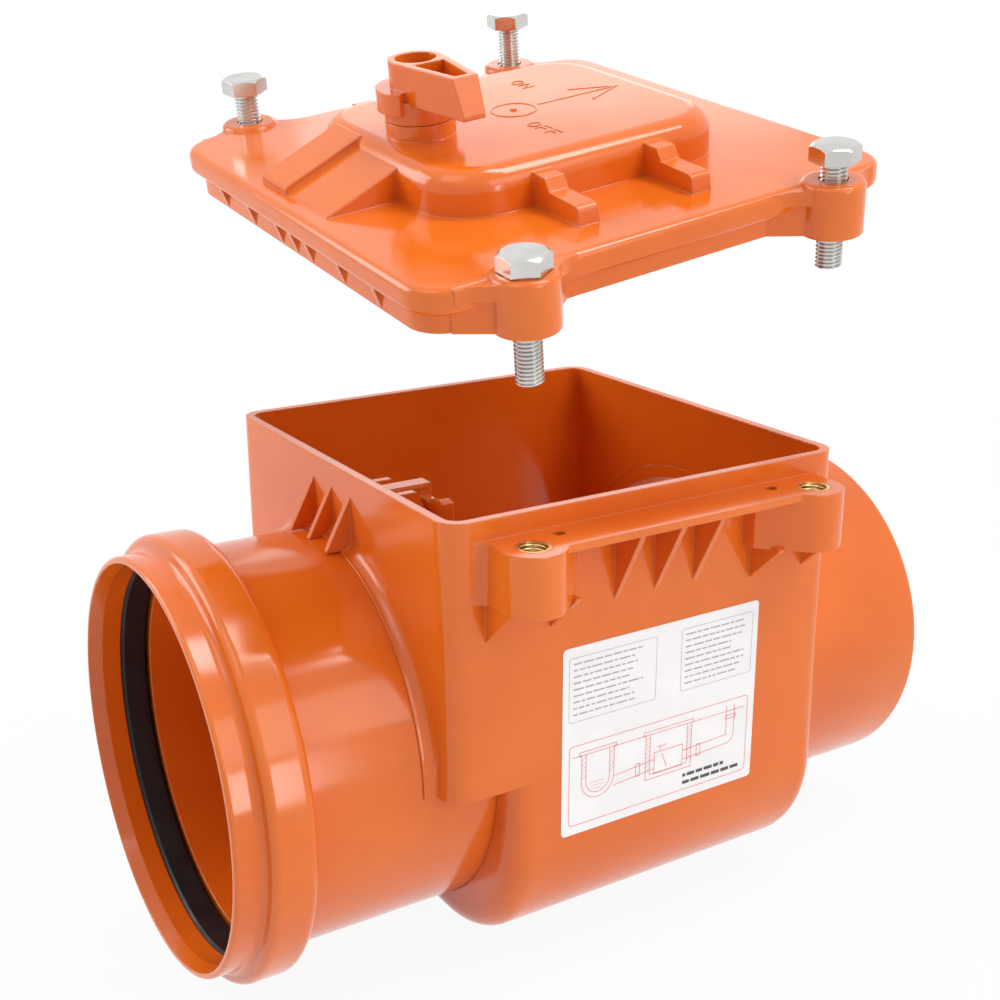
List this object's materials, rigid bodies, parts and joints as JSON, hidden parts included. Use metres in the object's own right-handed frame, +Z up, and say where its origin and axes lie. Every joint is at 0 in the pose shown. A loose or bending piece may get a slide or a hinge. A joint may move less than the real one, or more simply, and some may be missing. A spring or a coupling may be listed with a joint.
{
  "type": "backwater valve",
  "caption": "Drain backwater valve: a moulded chamber between a pipe socket and a spigot, with a hinged flap inside and a bolted cover that carries a locking lever.",
  "frame": {"origin": "on the pipe axis at the pipe stop inside the inlet socket", "axes": "+X along the flow from the socket to the spigot, +Z up through the cover, -Y towards the labelled side"},
  "size_m": [0.35, 0.2578, 0.3847],
  "materials": {
    "body_plastic": "glossy moulded PVC",
    "seal_rubber": "matt",
    "stainless": "bright stainless",
    "brass": "turned",
    "label_paper": "printed film"
  },
  "bodies": {
    "body": {"chamber": "body_plastic", "inlet_socket": "body_plastic", "outlet_spigot": "body_plastic", "lip_seal": "seal_rubber", "insert_front_left": "brass", "insert_front_right": "brass", "insert_back_left": "brass", "insert_back_right": "brass", "label": "label_paper", "flap_seat": "body_plastic", "seat_gasket": "seal_rubber", "hinge_pin": "stainless", "pin_clips": "stainless"},
    "flap": {"flap": "body_plastic", "flap_seal": "seal_rubber", "clamp_ring": "body_plastic", "clamp_screws": "stainless"},
    "cover": {"cover": "body_plastic", "cover_gasket": "seal_rubber"},
    "bolt_front_left": {"bolt_front_left": "stainless"},
    "bolt_front_right": {"bolt_front_right": "stainless"},
    "bolt_back_left": {"bolt_back_left": "stainless"},
    "bolt_back_right": {"bolt_back_right": "stainless"},
    "lever": {"handle": "body_plastic", "handle_screw": "stainless", "spindle": "stainless", "spindle_o_rings": "seal_rubber", "lock_cam": "body_plastic", "spindle_clip": "stainless"}
  },
  "joints": [
    {"name": "flap_swing", "type": "hinge", "parent": "body", "child": "flap", "pos_m": [0.006, 0, 0.0905], "axis": [0, -1, 0], "range_deg": [0, 60]},
    {"name": "cover_lift", "type": "hinge", "parent": "body", "child": "cover", "pos_m": [-0.25734, -0.33234, 0.0965], "axis": [0.7071, -0.7071, 0], "range_deg": [-13.7, 0]},
    {"name": "lever_turn", "type": "hinge", "parent": "cover", "child": "lever", "pos_m": [0.01552, -0.01748, 0.25081], "axis": [-0.1675, -0.1675, 0.9715], "range_deg": [0, 90]},
    {"name": "bolt_front_left_draw", "type": "slide", "parent": "cover", "child": "bolt_front_left", "axis": [-0.1675, -0.1675, 0.9715], "range_m": [0, 0.02]},
    {"name": "bolt_front_right_draw", "type": "slide", "parent": "cover", "child": "bolt_front_right", "axis": [-0.1675, -0.1675, 0.9715], "range_m": [-0.0065, 0.0135]},
    {"name": "bolt_back_left_draw", "type": "slide", "parent": "cover", "child": "bolt_back_left", "axis": [-0.1675, -0.1675, 0.9715], "range_m": [-0.0125, 0.0075]},
    {"name": "bolt_back_right_draw", "type": "slide", "parent": "cover", "child": "bolt_back_right", "axis": [-0.1675, -0.1675, 0.9715], "range_m": [-0.017, 0.003]}
  ]
}
